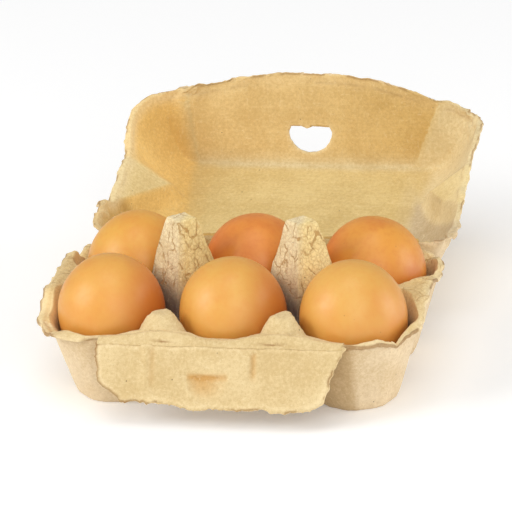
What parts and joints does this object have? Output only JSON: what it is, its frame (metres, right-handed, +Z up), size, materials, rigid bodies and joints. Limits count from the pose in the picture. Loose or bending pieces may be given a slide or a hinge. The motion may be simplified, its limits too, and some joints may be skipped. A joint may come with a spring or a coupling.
{
  "type": "egg carton",
  "caption": "Open moulded-pulp egg carton with cups and posts in the tray, a shallow swung-back lid with a lock window, a hanging front locking flap, and an egg in each cup.",
  "frame": {"origin": "middle of the open carton's footprint, on the table under the cups", "axes": "+X along the front edge to the right as seen from the front, +Y from the hanging flap at the front to the open lid at the back, +Z up"},
  "size_m": [0.1583, 0.2227, 0.0726],
  "materials": {
    "tray_pulp": "rough moulded paper pulp, tan",
    "lid_pulp": "moulded paper pulp, smoother on the inside, yellow-tan",
    "eggshell": "matt brown eggshell"
  },
  "bodies": {
    "base": {"base_tray": "tray_pulp", "front_hinge": "tray_pulp", "rear_hinge": "tray_pulp"},
    "lid": {"lid": "lid_pulp"},
    "flap": {"locking_flap": "tray_pulp"},
    "egg_front_left": {"egg_front_left": "eggshell"},
    "egg_front_middle": {"egg_front_middle": "eggshell"},
    "egg_front_right": {"egg_front_right": "eggshell"},
    "egg_rear_left": {"egg_rear_left": "eggshell"},
    "egg_rear_middle": {"egg_rear_middle": "eggshell"},
    "egg_rear_right": {"egg_rear_right": "eggshell"}
  },
  "joints": [
    {"name": "lid_hinge", "type": "hinge", "parent": "base", "child": "lid", "pos_m": [0, 0.0051, 0.0375], "axis": [-1, 0, 0], "range_deg": [-166.2, 16]},
    {"name": "flap_hinge", "type": "hinge", "parent": "base", "child": "flap", "pos_m": [0, -0.0998, 0.0326], "axis": [1, 0, 0], "range_deg": [-175.8, 0]},
    {"name": "egg_front_left_lift", "type": "slide", "parent": "base", "child": "egg_front_left", "axis": [0, 0, 1], "range_m": [0, 0.08]},
    {"name": "egg_front_middle_lift", "type": "slide", "parent": "base", "child": "egg_front_middle", "axis": [0, 0, 1], "range_m": [0, 0.08]},
    {"name": "egg_front_right_lift", "type": "slide", "parent": "base", "child": "egg_front_right", "axis": [0, 0, 1], "range_m": [0, 0.08]},
    {"name": "egg_rear_left_lift", "type": "slide", "parent": "base", "child": "egg_rear_left", "axis": [0, 0, 1], "range_m": [0, 0.08]},
    {"name": "egg_rear_middle_lift", "type": "slide", "parent": "base", "child": "egg_rear_middle", "axis": [0, 0, 1], "range_m": [0, 0.08]},
    {"name": "egg_rear_right_lift", "type": "slide", "parent": "base", "child": "egg_rear_right", "axis": [0, 0, 1], "range_m": [0, 0.08]}
  ]
}
